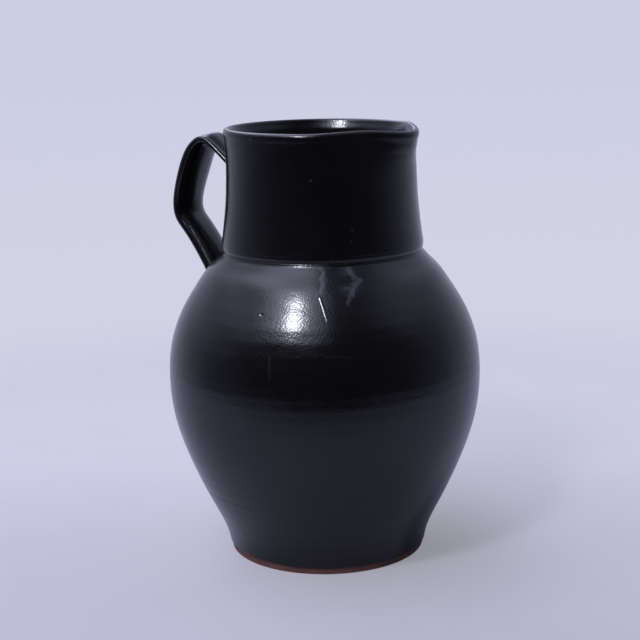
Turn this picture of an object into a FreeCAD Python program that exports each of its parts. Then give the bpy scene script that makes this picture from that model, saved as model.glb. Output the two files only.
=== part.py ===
import FreeCAD, Part
import math
import os

# The jug stands on z = 0 with its axis on Z. The lip points along +X and the handle along -X.
# Sizes are in millimetres and angles in degrees. They are those of the bare clay, without glaze.

# Body
body_height = 187.0
belly_height = 110.0
foot_radius = 59.7
belly_radius = 94.5
seam_radius = 59.6
floor_thickness = 8.0
foot_wall = 9.0
belly_wall = 5.5
seam_wall = 5.0

# Foot
band_height = 3.5
band_spread = 0.45
foot_edge_round = 0.8

# Neck and rim
neck_height = 72.3
bead_radius = 60.25
bead_height = 3.6
collar_radius = 59.1
collar_height = 12.5
waist_radius = 56.5
waist_height = 49.0
neck_wall = 4.6
rim_radius = 57.55
rim_thickness = 3.0

# Pulled lip, between two pinches
lip_half_angle = 35.0
lip_reach = 4.3
lip_dip = 1.1
lip_depth = 26.0
pinch_depth = 2.4
pinch_rise = 0.9

# Handle: how far the middle of the strap lies from the jug's axis and below the rim
handle_reach = 99.0
crown_reach = 79.3
crown_drop = 8.7
root_drop = 23.8
elbow_drop = 50.0
tail_drop = 91.0
handle_width = 26.6
handle_thickness = 6.4
root_width = 27.6
root_thickness = 3.8
limb_swell = 3.4
end_flare = 1.6

# Coats and joints
glaze_thickness = 0.7
slip_thickness = 0.5
slip_clearance = 0.08
joint_overrun = 9.0

# Body outline: height shares and radius shares, from the bare band to the belly and on to the seam
lower_shares = [(0.08, 0.061), (0.28, 0.346), (0.52, 0.679), (0.78, 0.933)]
upper_shares = [(0.25, 0.954), (0.50, 0.772), (0.75, 0.444), (0.85, 0.281)]
upper_shares += [(0.905, 0.160), (0.945, 0.078), (0.975, 0.030)]

# Neck outline: height shares and radius shares, from the collar to the waist and on to the rim
collar_shares = [(0.10, 0.84), (0.25, 0.615), (0.45, 0.345), (0.70, 0.13)]
flare_shares = [(0.40, 0.11), (0.67, 0.40), (0.86, 0.74)]
bead_side_share = 0.45

# Inside corner of the floor: shares of the foot's inner radius and of the belly's height
floor_flat_share = 0.50
corner_shares = [(0.74, 0.012), (0.94, 0.060)]
wall_start_share = 0.25

# Strap section, from one edge over the outer face to the other and back under the inner face:
# shares of the half width and of the half thickness
outer_face_shares = [(1.0, 0.0), (0.975, 0.36), (0.90, 0.62), (0.76, 0.46), (0.50, 0.72), (0.0, 0.94)]
inner_face_shares = [(0.985, -0.30), (0.92, -0.58), (0.75, -1.00), (0.45, -1.45), (0.0, -1.68)]

# Strap line: shares of the reach and of the height between root, crown, elbow and tail
rise_shares = [(0.30, 0.39), (0.637, 0.80)]
limb_shares = [(0.185, 0.05), (0.39, 0.155), (0.545, 0.29), (0.73, 0.515), (0.905, 0.765)]
tail_shares = [(0.02, 0.134), (0.088, 0.224), (0.225, 0.327), (0.645, 0.66)]

# Shares of the strap's length: where its ends widen, and between which it thickens from the root
end_zone_share = 0.14
swell_start_share = 0.12
swell_end_share = 0.36

# Shares of the strap's length: where its upper limb is broadest, and how far that reaches each way
limb_place_share = 0.42
limb_spread_share = 0.22

# Points round the neck's ring, and sections along the strap
ring_points = 48
strap_stations = 26

axis_start = FreeCAD.Vector(0, 0, 0)
up = FreeCAD.Vector(0, 0, 1)
rim_height = body_height + neck_height


def profile_point(radius, height):
    return FreeCAD.Vector(radius, 0, height)


def between(start, end, share):
    return start + (end - start) * share


def smooth_step(start, end, value):
    share = min(max((value - start) / (end - start), 0), 1)
    return share * share * (3 - 2 * share)


def spline(points):
    curve = Part.BSplineCurve()
    curve.interpolate(points)
    return curve


def line(start, end):
    return Part.LineSegment(start, end).toShape()


def revolve(edges):
    face = Part.Face(Part.Wire(edges))
    return face.revolve(axis_start, up, 360)


# Body

def wall_at(height):
    if height < belly_height:
        return between(foot_wall, belly_wall, height / belly_height)
    return between(belly_wall, seam_wall, (height - belly_height) / (body_height - belly_height))


def body_stations():
    band_radius = foot_radius + band_spread
    rows = [(band_height, band_radius)]
    for height_share, radius_share in lower_shares:
        height = between(band_height, belly_height, height_share)
        rows.append((height, between(band_radius, belly_radius, radius_share)))
    rows.append((belly_height, belly_radius))
    for height_share, radius_share in upper_shares:
        height = between(belly_height, body_height, height_share)
        rows.append((height, between(seam_radius, belly_radius, radius_share)))
    rows.append((body_height, seam_radius))
    return rows


def outer_wall(coat):
    return spline([profile_point(radius + coat, height) for height, radius in body_stations()])


def inner_wall(coat):
    inner_foot = foot_radius - foot_wall
    points = [profile_point(inner_foot * floor_flat_share, floor_thickness + coat)]
    for radius_share, height_share in corner_shares:
        height = floor_thickness + coat + belly_height * height_share
        points.append(profile_point(inner_foot * radius_share - coat, height))
    for height, radius in body_stations():
        if height > belly_height * wall_start_share:
            points.append(profile_point(radius - wall_at(height) - coat, height))
    return spline(points)


def make_thrown_body():
    outer = outer_wall(0)
    inner = inner_wall(0)
    foot_start = profile_point(foot_radius - foot_edge_round, 0)
    foot_end = profile_point(foot_radius, foot_edge_round)
    turn = foot_edge_round * math.cos(math.radians(45))
    foot_middle = profile_point(foot_radius - foot_edge_round + turn, foot_edge_round - turn)
    floor_middle = profile_point(0, floor_thickness)
    edges = [
        line(axis_start, foot_start),
        Part.Arc(foot_start, foot_middle, foot_end).toShape(),
        line(foot_end, outer.StartPoint),
        outer.toShape(),
        line(outer.EndPoint, inner.EndPoint),
        inner.toShape(),
        line(inner.StartPoint, floor_middle),
        line(floor_middle, axis_start),
    ]
    return revolve(edges)


def make_body_coat():
    clay = outer_wall(0)
    glaze = outer_wall(glaze_thickness)
    edges = [
        line(clay.StartPoint, glaze.StartPoint),
        glaze.toShape(),
        line(glaze.EndPoint, clay.EndPoint),
        clay.toShape(),
    ]
    return revolve(edges)


def make_liner_glaze():
    clay = inner_wall(0)
    glaze = inner_wall(glaze_thickness)
    clay_middle = profile_point(0, floor_thickness)
    glaze_middle = profile_point(0, floor_thickness + glaze_thickness)
    edges = [
        line(clay_middle, clay.StartPoint),
        clay.toShape(),
        line(clay.EndPoint, glaze.EndPoint),
        glaze.toShape(),
        line(glaze.StartPoint, glaze_middle),
        line(glaze_middle, clay_middle),
    ]
    return revolve(edges)


# Neck

def neck_side():
    side_height = bead_height * bead_side_share
    side_radius = between(seam_radius, bead_radius, 1 - bead_side_share ** 2)
    rows = [(body_height, seam_radius), (body_height + side_height, side_radius)]
    rows.append((body_height + bead_height, bead_radius))
    rows.append((body_height + between(bead_height, collar_height, bead_side_share),
                 between(bead_radius, collar_radius, bead_side_share)))
    rows.append((body_height + collar_height, collar_radius))
    for height_share, radius_share in collar_shares:
        height = body_height + between(collar_height, waist_height, height_share)
        rows.append((height, between(waist_radius, collar_radius, radius_share)))
    rows.append((body_height + waist_height, waist_radius))
    for height_share, radius_share in flare_shares:
        height = between(body_height + waist_height, rim_height - rim_thickness / 2, height_share)
        rows.append((height, between(waist_radius, rim_radius, radius_share)))
    return rows


def neck_wall_at(height):
    rise = (height - body_height) / waist_height
    if rise < 1:
        return between(seam_wall, neck_wall, rise)
    above = (height - body_height - waist_height) / (neck_height - waist_height)
    return between(neck_wall, rim_thickness, above)


def neck_inner_side():
    rows = []
    for height, radius in neck_side():
        if height == body_height or height > body_height + collar_height:
            rows.append((height, radius - neck_wall_at(height)))
    return rows


def neck_outline(coat):
    rows = [(height, radius + coat) for height, radius in neck_side()]
    half_rim = rim_thickness / 2
    for angle in (0, 45, 90, 135, 180):
        radius = rim_radius - half_rim + (half_rim + coat) * math.cos(math.radians(angle))
        height = rim_height - half_rim + (half_rim + coat) * math.sin(math.radians(angle))
        rows.append((height, radius))
    for height, radius in reversed(neck_inner_side()):
        rows.append((height, radius - coat))
    return rows


def hump(distance, half_width):
    if distance >= half_width:
        return 0.0
    return math.cos(math.radians(90) * distance / half_width) ** 2


def lip_weight(height):
    return smooth_step(rim_height - lip_depth, rim_height, height)


def neck_ring(height, radius):
    weight = lip_weight(height)
    points = []
    for index in range(ring_points):
        angle = 360.0 * index / ring_points
        from_lip = min(angle, 360.0 - angle)
        lip = hump(from_lip, lip_half_angle) * weight
        pinch = hump(abs(from_lip - lip_half_angle), lip_half_angle) * weight
        reach = radius + lip_reach * lip - pinch_depth * pinch
        level = height - lip_dip * lip + pinch_rise * pinch
        turn = math.radians(angle)
        points.append(FreeCAD.Vector(reach * math.cos(turn), reach * math.sin(turn), level))
    return points


def spacing(points):
    places = [0.0]
    for first, second in zip(points, points[1:]):
        places.append(places[-1] + (second - first).Length)
    return places


def skin(rings, places):
    steps = [float(step) for step in range(len(rings[0]) + 1)]
    around = []
    for ring in rings:
        curve = Part.BSplineCurve()
        curve.interpolate(Points=ring, PeriodicFlag=True, Parameters=steps)
        around.append(curve)
    poles = []
    for column in zip(*[curve.getPoles() for curve in around]):
        curve = Part.BSplineCurve()
        curve.interpolate(Points=list(column), Parameters=places)
        poles.append(curve.getPoles())
        along = curve
    ring_curve = around[0]
    surface = Part.BSplineSurface()
    surface.buildFromPolesMultsKnots(
        poles, ring_curve.getMultiplicities(), along.getMultiplicities(),
        ring_curve.getKnots(), along.getKnots(), True, False, ring_curve.Degree, along.Degree)
    return surface


def closed_solid(faces):
    shell = Part.Shell(faces)
    shell.sewShape()
    solid = Part.Solid(Part.Shell(shell.Faces))
    if solid.Volume < 0:
        solid.reverse()
    return solid


def neck_skin(coat):
    outline = neck_outline(coat)
    places = spacing([profile_point(radius, height) for height, radius in outline])
    surface = skin([neck_ring(height, radius) for height, radius in outline], places)
    outer_edge = surface.vIso(places[0])
    inner_edge = surface.vIso(places[-1])
    return surface, outer_edge, inner_edge


def flat_ring(outer_edge, inner_edge):
    outer_face = Part.Face(Part.Wire([outer_edge.toShape()]))
    return outer_face.cut(Part.Face(Part.Wire([inner_edge.toShape()]))).Faces[0]


def make_neck_core():
    surface, outer_edge, inner_edge = neck_skin(0)
    return closed_solid([surface.toShape(), flat_ring(outer_edge, inner_edge)])


def make_neck_coat():
    clay, clay_outer, clay_inner = neck_skin(0)
    glaze, glaze_outer, glaze_inner = neck_skin(glaze_thickness)
    faces = [clay.toShape(), glaze.toShape()]
    faces.append(flat_ring(glaze_outer, clay_outer))
    faces.append(flat_ring(clay_inner, glaze_inner))
    return closed_solid(faces)


def seam_slab():
    return Part.makeCylinder(belly_radius, slip_thickness, profile_point(0, body_height))


# Handle

def radius_at(rows, height):
    curve = spline([profile_point(radius, level) for level, radius in rows])
    low = profile_point(0, height)
    cut = Part.LineSegment(low, profile_point(belly_radius + handle_reach, height))
    return max(point.X for point in curve.intersectCC(cut))


def strap_line():
    root_height = rim_height - root_drop
    crown_height = rim_height - crown_drop
    elbow_height = rim_height - elbow_drop
    tail_height = rim_height - tail_drop
    root = profile_point(-radius_at(neck_side(), root_height), root_height)
    crown = profile_point(-crown_reach, crown_height)
    elbow = profile_point(-handle_reach, elbow_height)
    tail = profile_point(-radius_at(body_stations(), tail_height), tail_height)
    runs = [(root, crown, rise_shares), (crown, elbow, limb_shares), (elbow, tail, tail_shares)]
    points = [root]
    for start, end, shares in runs:
        for reach_share, height_share in shares:
            reach = between(start.x, end.x, reach_share)
            points.append(profile_point(reach, between(start.z, end.z, height_share)))
        points.append(end)
    first = points[0] + (points[0] - points[1]).normalize() * joint_overrun
    last = points[-1] + (points[-1] - points[-2]).normalize() * joint_overrun
    return spline([first] + points + [last])


def section_shares():
    half = outer_face_shares[:-1]
    shares = half + [outer_face_shares[-1]] + [(-across, out) for across, out in reversed(half)]
    under = inner_face_shares[:-1]
    shares += [(-across, out) for across, out in under] + [inner_face_shares[-1]]
    return shares + list(reversed(under))


def strap_size(share):
    root = max(1 - share / end_zone_share, 0) ** 2
    tail = max(1 - (1 - share) / end_zone_share, 0) ** 2
    swell = smooth_step(swell_start_share, swell_end_share, share)
    broad = hump(abs(share - limb_place_share), limb_spread_share)
    width = between(root_width, handle_width, swell) + limb_swell * broad + end_flare * (root + tail)
    thickness = between(root_thickness, handle_thickness, swell) + end_flare * root
    return width, thickness


def strap_ring(centre, share, coat):
    place = between(centre.FirstParameter, centre.LastParameter, share)
    middle = centre.value(place)
    run = centre.tangent(place)[0]
    out = FreeCAD.Vector(run.z, 0, -run.x)
    width, thickness = strap_size(share)
    points = []
    for across_share, out_share in section_shares():
        across = across_share * (width / 2 + coat)
        rise = out_share * (thickness / 2 + coat)
        points.append(middle + FreeCAD.Vector(0, across, 0) + out * rise)
    return points


def make_strap(coat):
    centre = strap_line()
    rings = []
    middles = []
    for station in range(strap_stations):
        share = station / (strap_stations - 1)
        rings.append(strap_ring(centre, share, coat))
        middles.append(centre.value(between(centre.FirstParameter, centre.LastParameter, share)))
    places = spacing(middles)
    surface = skin(rings, places)
    ends = [surface.vIso(places[0]), surface.vIso(places[-1])]
    caps = [Part.Face(Part.Wire([end.toShape()])) for end in ends]
    return closed_solid([surface.toShape()] + caps)


def envelope(coat):
    rows = [(height, radius + coat) for height, radius in body_stations()]
    body = spline([profile_point(radius, height) for height, radius in rows])
    side = [(height, radius + coat) for height, radius in neck_side()]
    neck = spline([profile_point(radius, height) for height, radius in side])
    base = profile_point(0, band_height)
    top = profile_point(0, side[-1][0])
    edges = [
        line(base, body.StartPoint),
        body.toShape(),
        neck.toShape(),
        line(neck.EndPoint, top),
        line(top, base),
    ]
    return revolve(edges)


def split_by_height(shape, height):
    above = Part.makeCylinder(belly_radius + handle_reach, rim_height, profile_point(0, height))
    return shape.common(above), shape.cut(above)


def export(shape, name):
    shape.exportStep(os.path.join("parts", name + ".step"))
    print(name, "valid", shape.isValid(), "solids", len(shape.Solids), "volume", round(shape.Volume, 1))


def main():
    os.makedirs("parts", exist_ok=True)
    strap = make_strap(0)
    coated_strap = make_strap(glaze_thickness)
    slip_wall = envelope(slip_thickness)
    glaze_wall = envelope(glaze_thickness)
    neck_core = make_neck_core()
    slab = seam_slab()

    handle = strap.cut(slip_wall)
    slips = strap.common(slip_wall).cut(envelope(slip_clearance))
    handle_top_slip, handle_foot_slip = split_by_height(slips, rim_height - elbow_drop)
    handle_glaze = coated_strap.cut(strap).cut(glaze_wall)

    export(make_thrown_body(), "thrown_body")
    export(neck_core.cut(slab), "thrown_neck")
    export(neck_core.common(slab), "neck_seam_slip")
    export(handle, "pulled_handle")
    export(handle_top_slip, "handle_top_slip")
    export(handle_foot_slip, "handle_foot_slip")
    export(make_body_coat().cut(strap), "body_glaze")
    export(make_neck_coat().cut(strap), "neck_glaze")
    export(make_liner_glaze(), "liner_glaze")
    export(handle_glaze, "handle_glaze")


main()
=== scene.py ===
import math

import bpy
import numpy as np
from mathutils import Matrix, Vector


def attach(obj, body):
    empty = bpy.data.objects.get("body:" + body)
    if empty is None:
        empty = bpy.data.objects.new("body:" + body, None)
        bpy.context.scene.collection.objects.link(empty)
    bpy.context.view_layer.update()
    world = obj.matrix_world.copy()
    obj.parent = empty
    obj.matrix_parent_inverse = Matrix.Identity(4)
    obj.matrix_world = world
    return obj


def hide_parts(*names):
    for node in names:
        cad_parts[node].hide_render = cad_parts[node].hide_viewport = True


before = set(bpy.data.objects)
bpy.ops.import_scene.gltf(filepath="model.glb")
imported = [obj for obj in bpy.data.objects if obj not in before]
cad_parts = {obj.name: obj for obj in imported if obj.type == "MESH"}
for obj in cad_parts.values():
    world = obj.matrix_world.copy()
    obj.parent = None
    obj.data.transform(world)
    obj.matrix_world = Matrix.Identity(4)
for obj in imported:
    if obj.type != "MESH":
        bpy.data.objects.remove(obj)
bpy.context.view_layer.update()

# The jug stands on z = 0 with its lip along +X and its handle along -X, as in the CAD frame.
# Sizes are in millimetres and angles in degrees; MM turns them into metres.
MM = 0.001

# Body
body_height = 187.0
belly_height = 110.0
foot_radius = 59.7
belly_radius = 94.5
seam_radius = 59.6
floor_thickness = 8.0
foot_wall = 9.0
belly_wall = 5.5
seam_wall = 5.0
band_height = 3.5
band_spread = 0.45
foot_edge_round = 0.8
lower_shares = [(0.08, 0.061), (0.28, 0.346), (0.52, 0.679), (0.78, 0.933)]
upper_shares = [(0.25, 0.954), (0.50, 0.772), (0.75, 0.444), (0.85, 0.281)]
upper_shares += [(0.905, 0.160), (0.945, 0.078), (0.975, 0.030)]
corner_shares = [(0.74, 0.012), (0.94, 0.060)]
floor_flat_share = 0.50
wall_start_share = 0.25

# Neck and rim
neck_height = 72.3
rim_height = body_height + neck_height
bead_radius = 60.25
bead_height = 3.6
collar_radius = 59.1
collar_height = 12.5
waist_radius = 56.5
waist_height = 49.0
neck_wall = 4.6
rim_radius = 57.55
rim_thickness = 3.0
bead_side_share = 0.45
collar_shares = [(0.10, 0.84), (0.25, 0.615), (0.45, 0.345), (0.70, 0.13)]
flare_shares = [(0.40, 0.11), (0.67, 0.40), (0.86, 0.74)]

# Pulled lip
lip_half_angle = 35.0
lip_reach = 4.3
lip_dip = 1.1
lip_depth = 26.0
pinch_depth = 2.4
pinch_rise = 0.9

# Handle
handle_reach = 99.0
crown_reach = 79.3
crown_drop = 8.7
root_drop = 23.8
elbow_drop = 50.0
tail_drop = 91.0
handle_width = 26.6
handle_thickness = 6.4
root_width = 27.6
root_thickness = 3.8
limb_swell = 3.4
end_flare = 1.6
joint_overrun = 9.0
outer_face_shares = [(1.0, 0.0), (0.975, 0.36), (0.90, 0.62), (0.76, 0.46), (0.50, 0.72), (0.0, 0.94)]
inner_face_shares = [(0.985, -0.30), (0.92, -0.58), (0.75, -1.00), (0.45, -1.45), (0.0, -1.68)]
rise_shares = [(0.30, 0.39), (0.637, 0.80)]
limb_shares = [(0.185, 0.05), (0.39, 0.155), (0.545, 0.29), (0.73, 0.515), (0.905, 0.765)]
tail_shares = [(0.02, 0.134), (0.088, 0.224), (0.225, 0.327), (0.645, 0.66)]
end_zone_share = 0.14
swell_start_share = 0.12
swell_end_share = 0.36
limb_place_share = 0.42
limb_spread_share = 0.22

# Glaze coat: its lower edge, and the hair's breadth that keeps it off the clay and under the rim's top
glaze_thickness = 0.7
glaze_edge_wave = 0.35
glaze_edge_roll = 1.1
coat_lift = 0.02
coat_inset = 0.02

# Slow random variation: the seed, the most waves round the jug and the finest wave along its height
ring_drift_waves = (3, 3, 60.0)
ring_strength_waves = (5, 2, 45.0)
wobble_waves = (7, 3, 90.0)
glaze_edge_waves = (11, 9, 50.0)
band_line_waves = (13, 4, 1.1)
band_pit_waves = (17, 40, 3.0)
strap_waves = (23, 2, 30.0)
wave_count = 9
wave_stretch = (1.0, 3.0)
wave_peak = 1.8

# Throwing rings and wobble outside, and over what length they fade at the seam, the edge and the rim
ring_pitch = 7.4
ring_depth = 0.07
ring_drift = 0.35
ring_strength = 0.55
ring_strength_change = 0.45
wobble_depth = 0.16
seam_fade = 12.0
edge_fade = 9.0
neck_fade_start = 9.0
neck_fade_end = 20.0
rim_fade_start = 1.0
rim_fade_end = 8.0

# Thin lines: two under the bead, one at the seam and one above the foot
bead_lines = (190.4, 192.9)
bead_line_depth = 0.12
bead_line_reach = 0.45
seam_line_height = 185.4
seam_line_depth = 0.42
seam_line_reach = 1.5
trim_line_height = 44.0
trim_line_depth = 0.10
trim_line_reach = 1.2

# Swell of the wall inside the rim, and how far below the rim it starts, is full, fades and ends
inside_swell = 1.1
swell_start_depth = 0.5
swell_full_depth = 6.0
swell_fade_depth = 12.0
swell_end_depth = 40.0

# Finger rings inside the body and the swirl on its floor
finger_pitch = 9.0
finger_depth = 0.35
finger_start_height = 15.0
finger_full_height = 40.0
finger_fade = 8.0
swirl_pitch = 8.0
swirl_depth = 0.3
swirl_middle = 3.0
swirl_fade = 6.0

# Marks of the trimming tool on the bare foot
base_line_pitch = 2.6
base_line_depth = 0.22
base_line_end = 5.0
base_line_full = 9.0
band_line_depth = 0.06
band_pit_depth = 0.05

# Strap: its wander, and the cove of glaze where it meets the wall
hand_wander = 0.016
wander_length = 150.0
cove_reach = 1.1
cove_fade = 1.5
end_depth = 2.2

# Flaws in the glaze, each place as angle from the lip's line, height and distance from the axis, with a
# width; a scratch also has how strongly a painted highlight pales it and how raised it is
pinholes = [
    ((-103.3, 256.1, 58.1), 1.1), ((-65.3, 234.2, 57.2), 1.0), ((-42.4, 205.4, 59.1), 0.9),
    ((-43.2, 199.2, 59.6), 0.9), ((-85.0, 160.8, 80.2), 1.5), ((-36.6, 23.7, 67.2), 0.9),
]
scratches = [
    ((-60.7, 170.3, 73.9), (-57.8, 158.4, 81.7), 0.9, 0.6, 0.4),
    ((-58.8, 140.0, 90.5), (-49.7, 139.5, 90.7), 0.7, 0.25, 0.03),
    ((-78.9, 139.9, 90.6), (-78.4, 128.6, 93.5), 1.1, 0.25, 0.05),
]
runs = [
    ((-58.9, 184.2, 61.8), (-59.1, 173.0, 72.0), 2.4), ((-46.3, 183.8, 62.2), (-42.0, 178.0, 67.4), 2.4),
    ((-42.0, 178.0, 67.4), (-48.2, 167.5, 75.9), 2.6),
]
run_relief = 0.25
# How strongly a painted reflection pales the runs
run_reflection_share = 0.8
run_sway = 0.007
flaw_relief = 0.3

# Mesh density
around = 480
curve_points = 900
body_rows = 300
edge_crowding = 1.15
back_rows = 40
neck_rows = 480
neck_clay_rows = 130
base_rows = 150
base_start_share = 0.01
foot_edge_rows = 8
band_rows = 24
clay_rows = 150
inside_rows = 320
inside_clay_rows = 60
swirl_rows = 50
floor_ring_shares = (0.02, 0.33, 0.66)
section_points = 112
strap_rows = 340

# Grain in the materials: waves in a metre, detail and roughness
cloud_grain = (22.0, 4.0, 0.6)
speck_grain = (900.0, 2.0, 0.5)
patch_grain = (60.0, 3.0, 0.6)
peel_grain = (800.0, 2.0, 0.5)
lump_grain = (120.0, 2.0, 0.5)
sway_grain = (140.0, 2.0, 0.5)
clay_cloud_grain = (55.0, 5.0, 0.65)
clay_fleck_grain = (1500.0, 2.0, 0.5)
clay_fine_grain = (1800.0, 3.0, 0.6)
tool_line_grain = (1.0, 2.0, 0.5)
tool_line_squeeze = (60.0, 60.0, 2600.0)
floor_grain = (9.0, 5.0, 0.6)

# Between which values of the grain it goes from none to full
mottle_edge = (0.35, 0.7)
speck_edge = (0.5, 0.8)
clay_cloud_edge = (0.3, 0.72)
clay_fleck_edge = (0.66, 0.74)
clay_rough_edge = (0.3, 0.7)
floor_mottle_edge = (0.3, 0.7)

# Glaze material
glaze_black = (0.0026, 0.0026, 0.0032, 1)
glaze_warm_black = (0.0042, 0.0038, 0.0040, 1)
rim_brown = (0.020, 0.011, 0.007, 1)
# Grey of the painted highlight on the scratches and the painted reflection on the runs
highlight_grey = (0.055, 0.055, 0.066, 1)
rim_brown_strength = 0.55
thin_rim_low = rim_height - 0.5
thin_rim_high = rim_height + 1.3
glaze_roughness = 0.16
patch_roughness = 0.05
speck_roughness = 0.05
rim_roughness = 0.16
glaze_ior = 1.52
peel_weight = 1.1
peel_strength = 0.20
peel_relief = 0.35

# Clay materials
clay_dark = (0.115, 0.045, 0.036, 1)
clay_light = (0.19, 0.077, 0.058, 1)
slip_dark = (0.20, 0.08, 0.05, 1)
slip_light = (0.30, 0.13, 0.09, 1)
clay_fleck = (0.035, 0.018, 0.014, 1)
clay_fleck_strength = 0.6
tool_line_weight = 0.7
clay_relief_strength = 0.5
clay_relief = 0.2
clay_roughness = (0.66, 0.85)

# Camera, measured from the photo; angles are turned about Z from the lip's line
view_turn = math.radians(31)
camera_distance = 881.5
camera_height = 332.2
camera_shift = 2.406
camera_pitch = math.radians(12.194)
camera_roll = math.radians(1.046)
focal_pixels = 1472.13
image_pixels = 640
sensor_width = 36

right = Vector((math.cos(view_turn), math.sin(view_turn), 0))
away = Vector((-math.sin(view_turn), math.cos(view_turn), 0))
up = Vector((0, 0, 1))

# Key lamp
key_turn = math.radians(-30)
key_rise = math.radians(46)
key_distance = 1250.0
key_width = 190.0
key_length = 240.0
key_target_height = 160.0
key_energy = 5.6
key_colour = (0.94, 0.97, 1.06)

# Floor sheet: colours of the paper and of the glowing tone over it. The paper darkens towards the front as
# painted shade; the tone is a painted glow that lightens the paper and the jug's shadow for the camera, and
# it darkens towards the front as painted shade too. Edges are places in front of the jug's axis in metres,
# and fade_reach is a distance from it.
floor_inner_radius = 10.0
floor_outer_radius = 1500.0
floor_rows = 60
floor_sink = 0.05
# Paper colours: far, then near and front darker as painted shade
far_paper = (0.49, 0.47, 0.53, 1)
near_paper_painted_shade = (0.396, 0.385, 0.435, 1)
front_paper_painted_shade = (0.22, 0.215, 0.245, 1)
white_paper = (1, 1, 1, 1)
# Painted glow over the floor: far, then near and front darker as painted shade
far_painted_glow = (0.89, 0.91, 0.935, 1)
near_painted_glow_shade = (0.72, 0.71, 0.80, 1)
front_painted_glow_shade = (0.60, 0.60, 0.73, 1)
near_shade_edge = (-0.25, 0.12)
front_paper_shade_edge = (0.12, 0.38)
front_glow_shade_edge = (0.16, 0.34)
glow_share_range = (0.33, 1.0)
floor_mottle_range = (0.0, 0.04)
fade_reach = (0.46, 0.74)
fade_edge = (0.38, 0.50)

# Backdrop that the camera sees: its colours low and high, and the heights of a ray between them
backdrop_low = (0.645, 0.645, 0.775, 1)
backdrop_high = (0.597, 0.617, 0.765, 1)
backdrop_edge = (-0.20, 0.0)

# Light of the surroundings. The walls' levels run from behind the jug to the front. Everything else
# is overhead: sideways and forward places are slopes of a ray, and heights are those of its end.
studio_colour = (0.85, 0.89, 1.21, 1)
wall_levels = [(0.0, 0.62), (0.07, 0.55), (0.25, 0.40), (0.5, 0.20)]
wall_levels += [(0.63, 0.12), (0.75, 0.07), (1.0, 0.032)]
overhead_edge = (0.1, 0.3)
least_rise = 0.05
ceiling_level = 2.0
ceiling_right_edge = (0.08, -0.20)
ceiling_left_edge = (-1.1, -0.45)
ceiling_front_edge = (0.95, 0.35)
halo_edge = (0.88, 1.0)
halo_range = (0.0, 1.6)
halo_height_edge = (0.52, 0.68)
left_side_edge = (-0.25, -0.6)
left_front_edge = (1.3, 0.4)
left_height_edge = (0.38, 0.62)
left_range = (0.12, 0.62)
right_side_edge = (0.3, 0.9)
right_front_edge = (0.9, 0.2)
right_height_edge = (0.35, 0.7)
right_range = (0.0, 0.32)
patch_side = 0.33
patch_side_edge = (0.14, 0.04)
patch_front = 0.35
patch_front_edge = (0.16, 0.05)


def between(start, end, share):
    return start + (end - start) * share


def smoothstep(low, high, value):
    share = np.clip((value - low) / (high - low), 0.0, 1.0)
    return share * share * (3 - 2 * share)


def hump(distance, half_width):
    """1 at no distance, falling smoothly to 0 at the half width."""
    return np.cos(np.radians(90) * np.clip(distance / half_width, 0, 1)) ** 2


def groove(height, middle, reach):
    return np.exp(-((height - middle) / reach) ** 2)


def turning_line(place, pitch, angle):
    """From 0 to 1 and back over each pitch, along a spiral round the axis."""
    turn = place / pitch - angle / (2 * math.pi)
    return 0.5 - 0.5 * np.cos(2 * math.pi * turn)


# Smooth curves through points

def end_slope(places, points, place):
    """Slope at one end of the cubic through the four points nearest to it."""
    slopes = []
    for column in points.T:
        cubic = np.polyfit(places, column, 3)
        slopes.append(np.polyval(np.polyder(cubic), place))
    return slopes


def spread(points):
    """Distance along the points, from 0 at the first one."""
    steps = np.linalg.norm(np.diff(points, axis=0), axis=1)
    return np.concatenate([[0.0], np.cumsum(steps)])


def curve_at(points, wanted):
    """Points of the smooth curve through the given ones, at the given distances along it."""
    points = np.array(points, float)
    places = spread(points)
    gaps = np.diff(places)
    slopes = np.diff(points, axis=0) / gaps[:, None]
    count = len(points)
    matrix = np.eye(count)
    known = np.zeros_like(points)
    known[0] = end_slope(places[:4], points[:4], places[0])
    known[-1] = end_slope(places[-4:], points[-4:], places[-1])
    for i in range(1, count - 1):
        matrix[i, i - 1:i + 2] = gaps[i], 2 * (gaps[i - 1] + gaps[i]), gaps[i - 1]
        known[i] = 3 * (gaps[i] * slopes[i - 1] + gaps[i - 1] * slopes[i])
    tangents = np.linalg.solve(matrix, known)
    spans = np.clip(np.searchsorted(places, wanted, side="right") - 1, 0, count - 2)
    gap = gaps[spans][:, None]
    share = ((wanted - places[spans]) / gaps[spans])[:, None]
    start, end = points[spans], points[spans + 1]
    bend = gap * (tangents[spans] * (share - 1) + tangents[spans + 1] * share) * share * (share - 1)
    blend = share * share * (3 - 2 * share)
    return between(start, end, blend) + bend


def smooth_curve(points, count):
    total = spread(np.array(points, float))[-1]
    return curve_at(points, np.linspace(0.0, total, count))


def even_curve(points, count):
    """The same curve with its points evenly spread."""
    fine = smooth_curve(points, count * 4)
    places = spread(fine)
    wanted = np.linspace(0.0, places[-1], count)
    return np.column_stack([np.interp(wanted, places, column) for column in fine.T])


# Slow random variation over the surface, the same in each run

def ripple(waves, angle, height):
    """A smooth field from about -1 to 1 that closes round the jug."""
    seed, turns, pitch = waves
    draw = np.random.RandomState(seed)
    total = 0.0
    for _ in range(wave_count):
        count = draw.randint(0, turns + 1)
        rate = 2 * math.pi / (pitch * draw.uniform(*wave_stretch))
        total = total + np.sin(count * angle + rate * height + draw.uniform(0, 2 * math.pi))
    return total / math.sqrt(wave_count) / wave_peak


def raised_ripple(waves, angle, height):
    """The same field, from about 0 to 1."""
    return 0.5 + 0.5 * ripple(waves, angle, height)


# Meshes

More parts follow.
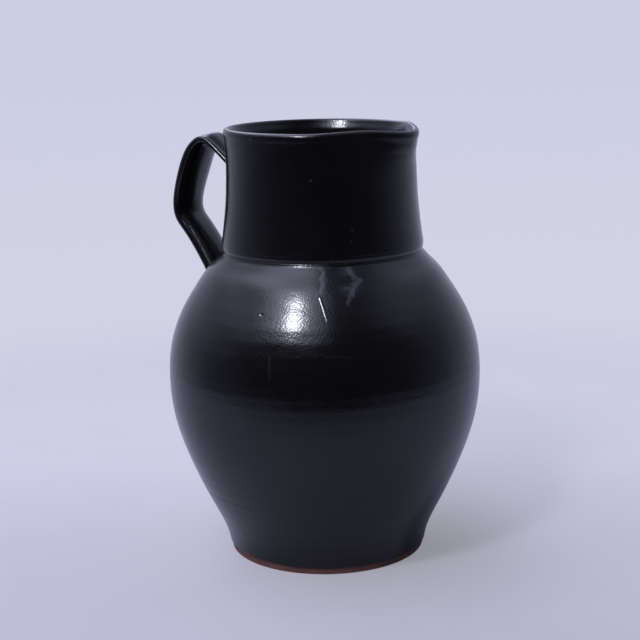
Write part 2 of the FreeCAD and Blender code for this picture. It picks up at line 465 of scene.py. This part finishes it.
def grid_piece(name, rings, close_rows=False, caps=False):
    """A closed mesh from rings of points. The rows are joined into a loop, or its two ends are capped."""
    rows, columns = len(rings), len(rings[0])
    points = np.concatenate(rings) * MM
    faces = []
    last = rows if close_rows else rows - 1
    for row in range(last):
        low = row * columns
        high = (row + 1) % rows * columns
        for column in range(columns):
            beside = (column + 1) % columns
            faces.append((low + column, low + beside, high + beside, high + column))
    if caps:
        points = np.concatenate([points, [rings[0].mean(axis=0) * MM, rings[-1].mean(axis=0) * MM]])
        bottom, top = len(points) - 2, len(points) - 1
        start = (rows - 1) * columns
        for column in range(columns):
            beside = (column + 1) % columns
            faces.append((bottom, beside, column))
            faces.append((top, start + column, start + beside))
    mesh = bpy.data.meshes.new(name)
    mesh.from_pydata([tuple(point) for point in points], [], faces)
    mesh.validate()
    mesh.shade_smooth()
    piece = bpy.data.objects.new(name, mesh)
    bpy.context.scene.collection.objects.link(piece)
    if signed_volume(mesh) < 0:
        mesh.flip_normals()
    return piece


def signed_volume(mesh):
    count = len(mesh.vertices)
    points = np.zeros(count * 3)
    mesh.vertices.foreach_get("co", points)
    points = points.reshape(-1, 3)
    mesh.calc_loop_triangles()
    corners = np.zeros(len(mesh.loop_triangles) * 3, int)
    mesh.loop_triangles.foreach_get("vertices", corners)
    first, second, third = points[corners.reshape(-1, 3).T]
    return np.einsum("ij,ij->i", first, np.cross(second, third)).sum() / 6


def angles():
    return np.arange(around) * 2 * math.pi / around


def turned_ring(radius, height):
    angle = angles()
    radius = np.broadcast_to(radius, angle.shape)
    height = np.broadcast_to(height, angle.shape)
    return np.column_stack([radius * np.cos(angle), radius * np.sin(angle), height])


# Body

def body_stations():
    band_radius = foot_radius + band_spread
    rows = [(band_height, band_radius)]
    for height_share, radius_share in lower_shares:
        rows.append((between(band_height, belly_height, height_share),
                     between(band_radius, belly_radius, radius_share)))
    rows.append((belly_height, belly_radius))
    for height_share, radius_share in upper_shares:
        rows.append((between(belly_height, body_height, height_share),
                     between(seam_radius, belly_radius, radius_share)))
    rows.append((body_height, seam_radius))
    return rows


def wall_at(height):
    if height < belly_height:
        return between(foot_wall, belly_wall, height / belly_height)
    return between(belly_wall, seam_wall, (height - belly_height) / (body_height - belly_height))


def body_radius(height):
    """Radius of the bare clay's outside at a height or an array of heights."""
    fine = smooth_curve(body_stations(), curve_points)
    return np.interp(height, fine[:, 0], fine[:, 1])


def inner_line(coat, count):
    """Points down the inside of the body, from the seam to the flat of the floor."""
    inner_foot = foot_radius - foot_wall
    points = [(floor_thickness + coat, inner_foot * floor_flat_share)]
    for radius_share, height_share in corner_shares:
        height = floor_thickness + coat + belly_height * height_share
        points.append((height, inner_foot * radius_share - coat))
    for height, radius in body_stations():
        if height > belly_height * wall_start_share:
            points.append((height, radius - wall_at(height) - coat))
    return even_curve(points, count)[::-1]


def ring_marks(angle, height):
    """Depth of the spiral throwing rings and of the slow wobble."""
    drift = ring_drift * ripple(ring_drift_waves, angle, height)
    strength = ring_strength + ring_strength_change * ripple(ring_strength_waves, angle, height)
    rings = ring_depth * strength * turning_line(height + drift * ring_pitch, ring_pitch, angle)
    return rings + wobble_depth * raised_ripple(wobble_waves, angle, height)


def glaze_edge(angle):
    """Height of the glaze's lower edge above the bare clay band."""
    return band_height + glaze_edge_wave * (1.0 + ripple(glaze_edge_waves, angle, 0.0))


def make_glazed_body():
    angle = angles()
    edge = glaze_edge(angle)
    rings = []
    for share in np.linspace(0.0, 1.0, body_rows) ** edge_crowding:
        height = between(edge, body_height, share)
        rise = np.clip((height - edge) / glaze_edge_roll, 0.0, 1.0)
        coat = glaze_thickness * np.sqrt(1 - (1 - rise) ** 2)
        fade = smoothstep(body_height, body_height - seam_fade, height)
        fade = fade * smoothstep(0.0, edge_fade, height - edge)
        marks = ring_marks(angle, height) * fade
        marks = marks + trim_line_depth * groove(height, trim_line_height, trim_line_reach)
        marks = marks + seam_line_depth * groove(height, seam_line_height, seam_line_reach)
        rings.append(turned_ring(body_radius(height) + coat - marks, height))
    for share in np.linspace(1.0, 0.0, back_rows):
        height = between(edge, body_height, share)
        rings.append(turned_ring(body_radius(height) + coat_lift * (share > 0), height))
    return grid_piece("glazed_body", rings, close_rows=True)


def base_rings(angle):
    """The underside, with the lines of the trimming tool."""
    rings = []
    for share in np.linspace(base_start_share, 1.0, base_rows):
        radius = share * (foot_radius - foot_edge_round)
        inside = smoothstep(foot_radius - base_line_end, foot_radius - base_line_full, radius)
        depth = base_line_depth * inside * turning_line(radius, base_line_pitch, angle)
        rings.append(turned_ring(radius, depth))
    return rings


def foot_edge_rings():
    rings = []
    for turn in np.radians(np.linspace(0, 90, foot_edge_rows))[1:]:
        radius = foot_radius - foot_edge_round + foot_edge_round * math.sin(turn)
        rings.append(turned_ring(radius, foot_edge_round * (1 - math.cos(turn))))
    return rings


def band_rings(angle):
    """The bare band between the foot's round edge and the glaze."""
    rings = []
    for height in np.linspace(foot_edge_round, band_height, band_rows)[1:-1]:
        share = (height - foot_edge_round) / (band_height - foot_edge_round)
        straight = between(foot_radius, foot_radius + band_spread, share)
        lines = band_line_depth * raised_ripple(band_line_waves, angle, height)
        pits = band_pit_depth * raised_ripple(band_pit_waves, angle, height)
        rings.append(turned_ring(straight - lines - pits, height))
    return rings


def floor_rings(shares):
    """Rings on the clay floor inside the body."""
    flat_radius = (foot_radius - foot_wall) * floor_flat_share
    return [turned_ring(share * flat_radius, floor_thickness) for share in shares]


def make_turned_body():
    """The bare clay body, with its trimmed base and foot band."""
    angle = angles()
    rings = base_rings(angle) + foot_edge_rings() + band_rings(angle)
    for height in np.linspace(band_height, body_height, clay_rows):
        rings.append(turned_ring(body_radius(height), height))
    for height, radius in inner_line(0.0, clay_rows):
        rings.append(turned_ring(radius, height))
    rings += floor_rings(reversed(floor_ring_shares))
    return grid_piece("turned_body", rings, caps=True)


def make_glazed_inside():
    """The glaze inside the body, with the rings of the potter's fingers."""
    angle = angles()
    rings = floor_rings(floor_ring_shares)
    for height, radius in inner_line(0.0, inside_clay_rows)[::-1]:
        rings.append(turned_ring(radius, height))
    wall_rows = inner_line(glaze_thickness, inside_rows)
    for height, radius in wall_rows:
        fade = smoothstep(body_height, body_height - finger_fade, height)
        fade = fade * smoothstep(finger_start_height, finger_full_height, height)
        marks = finger_depth * fade * turning_line(height, finger_pitch, angle)
        rings.append(turned_ring(radius + marks, height))
    flat_height, flat_radius = wall_rows[-1]
    for share in np.linspace(1.0, floor_ring_shares[0], swirl_rows)[1:]:
        radius = share * flat_radius
        fade = smoothstep(0.0, swirl_middle, radius)
        fade = fade * smoothstep(flat_radius, flat_radius - swirl_fade, radius)
        dip =swirl_depth * fade * turning_line(radius, swirl_pitch, angle)
        rings.append(turned_ring(radius, flat_height - dip))
    return grid_piece("glazed_inside", rings, caps=True)


# Neck

def neck_side():
    side_radius = between(seam_radius, bead_radius, 1 - bead_side_share ** 2)
    rows = [(body_height, seam_radius), (body_height + bead_height * bead_side_share, side_radius)]
    rows.append((body_height + bead_height, bead_radius))
    rows.append((body_height + between(bead_height, collar_height, bead_side_share),
                 between(bead_radius, collar_radius, bead_side_share)))
    rows.append((body_height + collar_height, collar_radius))
    for height_share, radius_share in collar_shares:
        rows.append((body_height + between(collar_height, waist_height, height_share),
                     between(waist_radius, collar_radius, radius_share)))
    rows.append((body_height + waist_height, waist_radius))
    for height_share, radius_share in flare_shares:
        rows.append((between(body_height + waist_height, rim_height - rim_thickness / 2, height_share),
                     between(waist_radius, rim_radius, radius_share)))
    return rows


def neck_wall_at(height):
    rise = (height - body_height) / waist_height
    if rise < 1:
        return between(seam_wall, neck_wall, rise)
    above = (height - body_height - waist_height) / (neck_height - waist_height)
    return between(neck_wall, rim_thickness, above)


def neck_outline(coat):
    """Heights and radii up the outside of the neck, over the rim and down the inside."""
    rows = [(height, radius + coat) for height, radius in neck_side()]
    half_rim = rim_thickness / 2
    for turn in np.radians([0, 45, 90, 135, 180]):
        rows.append((rim_height - half_rim + (half_rim + coat) * math.sin(turn),
                     rim_radius - half_rim + (half_rim + coat) * math.cos(turn)))
    for height, radius in reversed(neck_side()):
        if height == body_height or height > body_height + collar_height:
            rows.append((height, radius - neck_wall_at(height) - coat))
    return rows


def neck_ring(height, radius):
    """A ring of the neck, drawn out at the lip and drawn in at the pinches beside it."""
    angle = angles()
    weight = smoothstep(0.0, 1.0, 1 - (rim_height - height) / lip_depth)
    from_lip = np.degrees(np.minimum(angle, 2 * math.pi - angle))
    lip = hump(from_lip, lip_half_angle) * weight
    pinch = hump(np.abs(from_lip - lip_half_angle), lip_half_angle) * weight
    reach = radius + lip_reach * lip - pinch_depth * pinch
    level = height - lip_dip * lip + pinch_rise * pinch
    return np.column_stack([reach * np.cos(angle), reach * np.sin(angle), level])


def neck_marks(angle, height, outside):
    """How much the marks add to the radius. They cut into the outer face and widen the inner one."""
    fade = smoothstep(body_height + neck_fade_start, body_height + neck_fade_end, height)
    fade = fade * smoothstep(rim_height - rim_fade_start, rim_height - rim_fade_end, height)
    marks = ring_marks(angle, height) * fade
    if outside:
        lines = sum(groove(height, middle, bead_line_reach) for middle in bead_lines)
        return -marks - bead_line_depth * lines
    depth = rim_height - height
    swell = smoothstep(swell_start_depth, swell_full_depth, depth)
    swell = swell * smoothstep(swell_end_depth, swell_fade_depth, depth)
    return marks - inside_swell * swell


def make_glazed_neck():
    angle = angles()
    outline = even_curve(neck_outline(glaze_thickness), neck_rows)
    crest = int(np.argmax(outline[:, 0]))
    rings = []
    for index, (height, radius) in enumerate(outline):
        marks = neck_marks(angle, height, outside=index < crest)
        rings.append(neck_ring(height - coat_inset, radius + marks))
    for height, radius in smooth_curve(neck_outline(0.0), neck_clay_rows)[::-1]:
        rings.append(neck_ring(height, radius))
    return grid_piece("glazed_neck", rings, close_rows=True)


# Handle

def outside_radius(height):
    """Radius of the bare clay's outside, body and neck together."""
    neck = smooth_curve(neck_side(), curve_points)
    on_neck = np.interp(height, neck[:, 0], neck[:, 1])
    return np.where(height > body_height, on_neck, body_radius(np.minimum(height, body_height)))


def past_end(end, neighbour):
    """A point beyond one end of the strap's line, inside the wall."""
    run = end - neighbour
    return end + run / np.linalg.norm(run) * joint_overrun


def strap_line():
    """Middle of the strap from inside the neck to inside the shoulder, as x and z."""
    root_height = rim_height - root_drop
    tail_height = rim_height - tail_drop
    root = np.array([-float(outside_radius(root_height)), root_height])
    crown = np.array([-crown_reach, rim_height - crown_drop])
    elbow = np.array([-handle_reach, rim_height - elbow_drop])
    tail = np.array([-float(outside_radius(tail_height)), tail_height])
    limbs = ((root, crown, rise_shares), (crown, elbow, limb_shares), (elbow, tail, tail_shares))
    points = [root]
    for start, end, shares in limbs:
        for reach_and_height in shares:
            points.append(between(start, end, np.array(reach_and_height)))
        points.append(end)
    return [past_end(points[0], points[1])] + points + [past_end(points[-1], points[-2])]


def strap_section():
    """The strap's section as shares of its half width and half thickness, closed and smooth."""
    half = outer_face_shares[:-1]
    shares = half + [outer_face_shares[-1]] + [(-across, out) for across, out in reversed(half)]
    under = inner_face_shares[:-1]
    shares += [(-across, out) for across, out in under] + [inner_face_shares[-1]] + list(reversed(under))
    shares = np.array(shares)
    scale = np.array([handle_width / 2, handle_thickness / 2])
    looped = np.concatenate([shares, shares, shares, shares[:1]]) * scale
    places = spread(looped)
    count = len(shares)
    wanted = np.linspace(places[count], places[2 * count], section_points + 1)[:-1]
    return curve_at(looped, wanted) / scale


def strap_size(share):
    root = np.maximum(1 - share / end_zone_share, 0) ** 2
    tail = np.maximum(1 - (1 - share) / end_zone_share, 0) ** 2
    swell = smoothstep(swell_start_share, swell_end_share, share)
    broad = hump(abs(share - limb_place_share), limb_spread_share)
    width = between(root_width, handle_width, swell) + limb_swell * broad + end_flare * (root + tail)
    thickness = between(root_thickness, handle_thickness, swell) + end_flare * root
    return width, thickness


def make_glazed_handle():
    middles = smooth_curve(strap_line(), strap_rows)
    runs_along = np.gradient(middles, axis=0)
    runs_along /= np.linalg.norm(runs_along, axis=1)[:, None]
    section = strap_section()
    rings = []
    for index in range(strap_rows):
        share = index / (strap_rows - 1)
        width, thickness = strap_size(share)
        across = section[:, 0] * (width / 2 + glaze_thickness)
        rise = section[:, 1] * (thickness / 2 + glaze_thickness)
        rise = rise * (1 - hand_wander * (1 + ripple(strap_waves, section[:, 0], share * wander_length)))
        x = middles[index, 0] + runs_along[index, 1] * rise
        z = middles[index, 1] - runs_along[index, 0] * rise
        rings.append(np.column_stack([x, across, z]))
    return grid_piece("glazed_handle", trim_to_wall(np.array(rings), runs_along), caps=True)


def outward_normals(rings, runs_along):
    """Directions out of the strap's surface, square to it and to its line."""
    along = np.column_stack([runs_along[:, 0], np.zeros(len(runs_along)), runs_along[:, 1]])
    round_section = np.roll(rings, -1, axis=1) - np.roll(rings, 1, axis=1)
    normals = np.cross(round_section, along[:, None, :])
    normals /= np.linalg.norm(normals, axis=2)[:, :, None]
    from_centre = rings - rings.mean(axis=1)[:, None, :]
    return normals * np.sign((normals * from_centre).sum())


def trim_to_wall(rings, runs_along):
    """Each line along the strap ends just inside the clay wall, and swells in a small cove before it."""
    trimmed = np.empty_like(rings)
    normals = outward_normals(rings, runs_along)
    for column in range(rings.shape[1]):
        path = rings[:, column]
        depth = np.hypot(path[:, 0], path[:, 1]) - outside_radius(path[:, 2]) - glaze_thickness
        middle = len(path) // 2
        start = middle - int(np.argmax(depth[middle::-1] < -end_depth))
        end = middle + int(np.argmax(depth[middle:] < -end_depth))
        cove = cove_reach * np.exp(-np.maximum(depth, 0.0) / cove_fade)
        swollen = path + normals[:, column] * cove[:, None]
        wanted = np.linspace(start, end, len(path))
        for axis in range(3):
            trimmed[:, column, axis] = np.interp(wanted, np.arange(len(path)), swollen[:, axis])
    return trimmed


# Materials

class Nodes:
    """A short way to add shader nodes to one material or world."""

    def __init__(self, tree):
        self.tree = tree
        tree.nodes.clear()

    def add(self, kind, inputs=(), **settings):
        node = self.tree.nodes.new(kind)
        for name, value in settings.items():
            setattr(node, name, value)
        for name, value in dict(inputs).items():
            self.feed(node.inputs[name], value)
        return node

    def feed(self, socket, value):
        if isinstance(value, bpy.types.NodeSocket):
            self.tree.links.new(value, socket)
        else:
            socket.default_value = value

    def math(self, operation, first, second=0.0):
        return self.add("ShaderNodeMath", {0: first, 1: second}, operation=operation).outputs[0]

    def vector(self, operation, first, second=(0, 0, 0)):
        node = self.add("ShaderNodeVectorMath", {0: first, 1: second}, operation=operation)
        return node.outputs["Value" if operation in ("DOT_PRODUCT", "DISTANCE", "LENGTH") else "Vector"]

    def product(self, *factors):
        result = factors[0]
        for factor in factors[1:]:
            result = self.math("MULTIPLY", result, factor)
        return result

    def total(self, *terms):
        result = terms[0]
        for term in terms[1:]:
            result = self.math("ADD", result, term)
        return result

    def remap(self, value, low, high, new_low=0.0, new_high=1.0, smooth=True):
        kind = "SMOOTHSTEP" if smooth else "LINEAR"
        node = self.add("ShaderNodeMapRange", {
            "Value": value, "From Min": low, "From Max": high, "To Min": new_low, "To Max": new_high,
        }, interpolation_type=kind)
        return node.outputs["Result"]

    def noise(self, place, scale, detail, roughness, output="Fac"):
        node = self.add("ShaderNodeTexNoise", {
            "Vector": place, "Scale": scale, "Detail": detail, "Roughness": roughness})
        return node.outputs[output]

    def mix(self, factor, first, second):
        node = self.add("ShaderNodeMix", data_type="RGBA")
        for socket, value in zip((node.inputs[0], node.inputs[6], node.inputs[7]), (factor, first, second)):
            self.feed(socket, value)
        return node.outputs[2]


def new_material(name):
    material = bpy.data.materials.new(name)
    material.use_nodes = True
    nodes = Nodes(material.node_tree)
    place = nodes.add("ShaderNodeTexCoord").outputs["Object"]
    return material, nodes, place


def finish_material(nodes, inputs):
    shader = nodes.add("ShaderNodeBsdfPrincipled", inputs)
    nodes.add("ShaderNodeOutputMaterial", {"Surface": shader.outputs[0]})


def black_glaze():
    """Satin black glaze: faint brown where it is thin, mottled gloss and a fine orange peel, with a painted
    highlight on its scratches and a painted reflection on its runs.
    """
    material, nodes, place = new_material("black_glaze")
    height = nodes.add("ShaderNodeSeparateXYZ", {0: place}).outputs["Z"]
    rim = nodes.remap(height, thin_rim_low * MM, thin_rim_high * MM)
    # pale carries the painted highlight of the scratches and the painted reflection of the runs
    dents, pale = glaze_flaws(nodes, place)
    flaws = nodes.add("ShaderNodeBump", {
        "Height": dents, "Strength": 1.0, "Distance": flaw_relief * MM, "Normal": glaze_peel(nodes, place)})
    finish_material(nodes, {
        "Base Color": glaze_colour(nodes, place, rim, pale), "Roughness": glaze_gloss(nodes, place, rim),
        "IOR": glaze_ior, "Normal": flaws.outputs[0]})
    return material


def glaze_colour(nodes, place, rim, pale):
    cloud = nodes.remap(nodes.noise(place, *cloud_grain), *mottle_edge)
    colour = nodes.mix(cloud, glaze_black, glaze_warm_black)
    colour = nodes.mix(nodes.product(rim, rim_brown_strength), colour, rim_brown)
    # Pales the glaze towards grey where the mask holds the painted highlight and reflection
    return nodes.mix(nodes.product(pale, run_reflection_share), colour, highlight_grey)


def glaze_gloss(nodes, place, rim):
    patches = nodes.remap(nodes.noise(place, *patch_grain), *mottle_edge)
    specks = nodes.remap(nodes.noise(place, *speck_grain), *speck_edge)
    return nodes.total(nodes.product(patches, patch_roughness), glaze_roughness,
                       nodes.product(specks, speck_roughness), nodes.product(rim, rim_roughness))


def glaze_peel(nodes, place):
    peel = nodes.noise(place, *peel_grain)
    relief = nodes.total(nodes.product(peel, peel_weight), nodes.noise(place, *lump_grain))
    bump = nodes.add("ShaderNodeBump", {
        "Height": relief, "Strength": peel_strength, "Distance": peel_relief * MM})
    return bump.outputs[0]


def on_jug(spot):
    """The place in metres of a flaw given by angle, height and distance from the axis."""
    angle, height, distance = spot
    turn = math.radians(angle)
    return Vector((distance * math.cos(turn), distance * math.sin(turn), height)) * MM


def stroke_mask(nodes, place, start, end, width):
    """1 along the straight stroke between two spots, fading to 0 at its sides."""
    first, last = on_jug(start), on_jug(end)
    run = last - first
    offset = nodes.vector("SUBTRACT", place, tuple(first))
    along = nodes.vector("DOT_PRODUCT", offset, tuple(run / run.length_squared))
    along = nodes.math("MAXIMUM", nodes.math("MINIMUM", along, 1.0), 0.0)
    scaled = nodes.add("ShaderNodeVectorMath", {0: tuple(run), "Scale": along}, operation="SCALE")
    return nodes.remap(nodes.vector("DISTANCE", offset, scaled.outputs[0]), width * MM, 0.0)


def swayed_place(nodes, place):
    """The same places, pushed a little to and fro."""
    sway = nodes.noise(place, *sway_grain, output="Color")
    sway = nodes.vector("SUBTRACT", sway, (0.5, 0.5, 0.5))
    return nodes.vector("ADD", place, nodes.vector("MULTIPLY", sway, (run_sway, run_sway, run_sway)))


def glaze_flaws(nodes, place):
    """The relief of all flaws, and the mask of the painted highlight on the scratches and the painted
    reflection on the runs. The runs sway as they flow.
    """
    dents = 0.0
    for spot, width in pinholes:
        distance = nodes.vector("DISTANCE", place, tuple(on_jug(spot)))
        dents = nodes.math("SUBTRACT", dents, nodes.remap(distance, width * MM, 0.0))
    pale = 0.0
    for start, end, width, scratch_highlight_share, relief in scratches:
        mask = stroke_mask(nodes, place, start, end, width)
        dents = nodes.total(dents, nodes.product(mask, relief))
        pale = nodes.math("MAXIMUM", pale, nodes.product(mask, scratch_highlight_share))
    swayed = swayed_place(nodes, place)
    for start, end, width in runs:
        mask = stroke_mask(nodes, swayed, start, end, width)
        dents = nodes.total(dents, nodes.product(mask, run_relief))
        pale = nodes.math("MAXIMUM", pale, mask)
    return dents, pale


def red_clay(name, dark, light):
    """Fired red-brown clay: grains of grog, darker flecks and the fine lines of the turning tool."""
    material, nodes, place = new_material(name)
    cloud = nodes.remap(nodes.noise(place, *clay_cloud_grain), *clay_cloud_edge)
    fleck = nodes.remap(nodes.noise(place, *clay_fleck_grain), *clay_fleck_edge)
    colour = nodes.mix(nodes.product(fleck, clay_fleck_strength), nodes.mix(cloud, dark, light), clay_fleck)
    lines = nodes.noise(nodes.vector("MULTIPLY", place, tool_line_squeeze), *tool_line_grain)
    grain = nodes.noise(place, *clay_fine_grain)
    relief = nodes.total(nodes.product(lines, tool_line_weight), grain)
    bump = nodes.add("ShaderNodeBump", {
        "Height": relief, "Strength": clay_relief_strength, "Distance": clay_relief * MM})
    rough = nodes.remap(grain, *clay_rough_edge, *clay_roughness, smooth=False)
    finish_material(nodes, {"Base Color": colour, "Roughness": rough, "Normal": bump.outputs[0]})
    return material


# Studio

def floor_paper(nodes, place, ahead):
    """The paper that takes the light and the jug's shadow, darker towards the front as painted shade."""
    colour = nodes.mix(nodes.remap(ahead, *near_shade_edge), far_paper, near_paper_painted_shade)
    colour = nodes.mix(nodes.remap(ahead, *front_paper_shade_edge), colour, front_paper_painted_shade)
    mottle = nodes.remap(nodes.noise(place, *floor_grain), *floor_mottle_edge, *floor_mottle_range)
    colour = nodes.mix(mottle, colour, white_paper)
    return nodes.add("ShaderNodeBsdfDiffuse", {"Color": colour}).outputs[0]


def floor_painted_glow(nodes, ahead):
    """A glowing tone that only the camera sees: painted light over the paper and the jug's shadow, darker
    towards the front as painted shade.
    """
    colour = nodes.mix(nodes.remap(ahead, *near_shade_edge), far_painted_glow, near_painted_glow_shade)
    colour = nodes.mix(nodes.remap(ahead, *front_glow_shade_edge), colour, front_painted_glow_shade)
    return nodes.add("ShaderNodeEmission", {"Color": colour, "Strength": 1.0}).outputs[0]


def add_floor():
    """A pale sheet whose edge fades away, so that it has no visible end."""
    radii = np.linspace(floor_inner_radius, floor_outer_radius, floor_rows)
    floor = grid_piece("floor_sheet", [turned_ring(radius, 0.0) for radius in radii])
    floor.location.z = -floor_sink * MM
    material, nodes, place = new_material("floor_sheet")
    ahead = nodes.vector("DOT_PRODUCT", place, tuple(-away))
    camera_ray = nodes.add("ShaderNodeLightPath").outputs["Is Camera Ray"]
    # For the camera, painted glow is mixed over the paper and its shadow, all glow at the front
    glow_share = nodes.product(camera_ray, nodes.remap(ahead, *front_glow_shade_edge, *glow_share_range))
    sheet = nodes.add("ShaderNodeMixShader", {
        0: glow_share, 1: floor_paper(nodes, place, ahead), 2: floor_painted_glow(nodes, ahead)}).outputs[0]
    clear = nodes.add("ShaderNodeBsdfTransparent").outputs[0]
    reach = nodes.vector("LENGTH", place)
    gone = nodes.math("MAXIMUM", nodes.remap(reach, *fade_reach), nodes.remap(ahead, *fade_edge))
    mixed = nodes.add("ShaderNodeMixShader", {0: gone, 1: sheet, 2: clear})
    nodes.add("ShaderNodeOutputMaterial", {"Surface": mixed.outputs[0]})
    floor.data.materials.append(material)


def key_direction():
    """From the jug towards the lamp, up on the camera's left."""
    level = -away * math.cos(key_turn) + right * math.sin(key_turn)
    return level * math.cos(key_rise) + up * math.sin(key_rise)


def wall_light(nodes, front):
    ramp = nodes.add("ShaderNodeValToRGB", {"Fac": nodes.remap(front, -1.0, 1.0, smooth=False)})
    band = ramp.color_ramp
    while len(band.elements) < len(wall_levels):
        band.elements.new(0.5)
    for element, (place, level) in zip(band.elements, wall_levels):
        element.position = place
        element.color = (level, level, level, 1)
    return ramp.outputs["Color"]


def ceiling_light(nodes, ray, across, ahead, height):
    """The bright ceiling up on the left, and the halo round the key lamp."""
    patch = nodes.product(nodes.remap(across, *ceiling_right_edge), nodes.remap(across, *ceiling_left_edge),
                          nodes.remap(ahead, *ceiling_front_edge), ceiling_level)
    from_key = nodes.vector("DOT_PRODUCT", ray, tuple(key_direction()))
    halo = nodes.remap(from_key, *halo_edge, *halo_range)
    halo = nodes.product(halo, nodes.remap(height, *halo_height_edge))
    return nodes.total(patch, halo)


def side_light(nodes, across, ahead, height):
    """The paler ceiling on the far left and the far right."""
    left = nodes.product(nodes.remap(across, *left_side_edge), nodes.remap(ahead, *left_front_edge),
                         nodes.remap(height, *left_height_edge, *left_range))
    far_right = nodes.product(nodes.remap(across, *right_side_edge), nodes.remap(ahead, *right_front_edge),
                              nodes.remap(height, *right_height_edge, *right_range))
    return nodes.total(left, far_right)


def patch_light(nodes, across, ahead):
    """A small bright window overhead, right of the middle."""
    beside = nodes.math("ABSOLUTE", nodes.math("SUBTRACT", across, patch_side))
    before = nodes.math("ABSOLUTE", nodes.math("SUBTRACT", ahead, patch_front))
    return nodes.product(nodes.remap(beside, *patch_side_edge), nodes.remap(before, *patch_front_edge))


def set_world():
    """A studio seen only by its light: dark in front, pale behind, a bright ceiling up on the left.
    The camera itself sees a plain pale lavender backdrop."""
    world = bpy.data.worlds.new("studio")
    bpy.context.scene.world = world
    world.use_nodes = True
    nodes = Nodes(world.node_tree)
    ray = nodes.add("ShaderNodeTexCoord").outputs["Generated"]
    front = nodes.vector("DOT_PRODUCT", ray, tuple(-away))
    side = nodes.vector("DOT_PRODUCT", ray, tuple(right))
    height = nodes.vector("DOT_PRODUCT", ray, tuple(up))
    rise = nodes.math("MAXIMUM", height, least_rise)
    across = nodes.math("DIVIDE", side, rise)
    ahead = nodes.math("DIVIDE", front, rise)
    overhead = nodes.total(ceiling_light(nodes, ray, across, ahead, height),
                           side_light(nodes, across, ahead, height), patch_light(nodes, across, ahead))
    overhead = nodes.product(overhead, nodes.remap(height, *overhead_edge))
    level = nodes.total(wall_light(nodes, front), overhead)
    lit = nodes.add("ShaderNodeBackground", {"Color": studio_colour, "Strength": level}).outputs[0]
    backdrop = nodes.mix(nodes.remap(height, *backdrop_edge), backdrop_low, backdrop_high)
    seen = nodes.add("ShaderNodeBackground", {"Color": backdrop, "Strength": 1.0}).outputs[0]
    camera_ray = nodes.add("ShaderNodeLightPath").outputs["Is Camera Ray"]
    both = nodes.add("ShaderNodeMixShader", {0: camera_ray, 1: lit, 2: seen})
    nodes.add("ShaderNodeOutputWorld", {"Surface": both.outputs[0]})


def add_key_light():
    """The soft lamp up on the left that makes the shoulder's highlight and the shadow on the floor."""
    light = bpy.data.lights.new("key", "AREA")
    light.shape = "ELLIPSE"
    light.size = key_width * MM
    light.size_y = key_length * MM
    light.energy = key_energy
    light.color = key_colour
    lamp = bpy.data.objects.new("key", light)
    bpy.context.scene.collection.objects.link(lamp)
    towards = key_direction()
    lamp.location = (up * key_target_height + towards * key_distance) * MM
    lamp.rotation_mode = "QUATERNION"
    lamp.rotation_quaternion = towards.to_track_quat("Z", "Y")
    lamp.visible_camera = False


def add_camera():
    camera = bpy.data.cameras.new("camera")
    camera.sensor_width = sensor_width
    camera.lens = focal_pixels / image_pixels * sensor_width
    view = bpy.data.objects.new("camera", camera)
    bpy.context.scene.collection.objects.link(view)
    place = (-right * camera_shift - away * camera_distance + up * camera_height) * MM
    forward = away * math.cos(camera_pitch) - up * math.sin(camera_pitch)
    level_up = up * math.cos(camera_pitch) + away * math.sin(camera_pitch)
    x_axis = right * math.cos(camera_roll) - level_up * math.sin(camera_roll)
    y_axis = level_up * math.cos(camera_roll) + right * math.sin(camera_roll)
    turned = Matrix((x_axis, y_axis, -forward)).transposed().to_4x4()
    view.matrix_world = Matrix.Translation(place) @ turned
    bpy.context.scene.camera = view


# Assembly

def repaint(node, material):
    for slot in node.material_slots:
        slot.material = material


def dress():
    glaze = black_glaze()
    clay = red_clay("red_clay", clay_dark, clay_light)
    slip = red_clay("joining_slip", slip_dark, slip_light)
    coats = [
        (make_glazed_body(), glaze, "black_glaze", "body_glaze"),
        (make_glazed_neck(), glaze, "black_glaze", "neck_glaze"),
        (make_glazed_handle(), glaze, "black_glaze", "handle_glaze"),
        (make_glazed_inside(), glaze, "black_glaze", "liner_glaze"),
        (make_turned_body(), clay, "red_clay", "thrown_body"),
    ]
    for piece, material, slot, node in coats:
        piece.data.materials.append(material)
        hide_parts(node)
        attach(piece, "root")
    for node in ("thrown_neck", "pulled_handle"):
        repaint(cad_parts[node], clay)
    for node in ("neck_seam_slip", "handle_top_slip", "handle_foot_slip"):
        repaint(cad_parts[node], slip)


dress()
add_floor()
set_world()
add_key_light()
add_camera()
bpy.context.scene.view_settings.view_transform = "Standard"
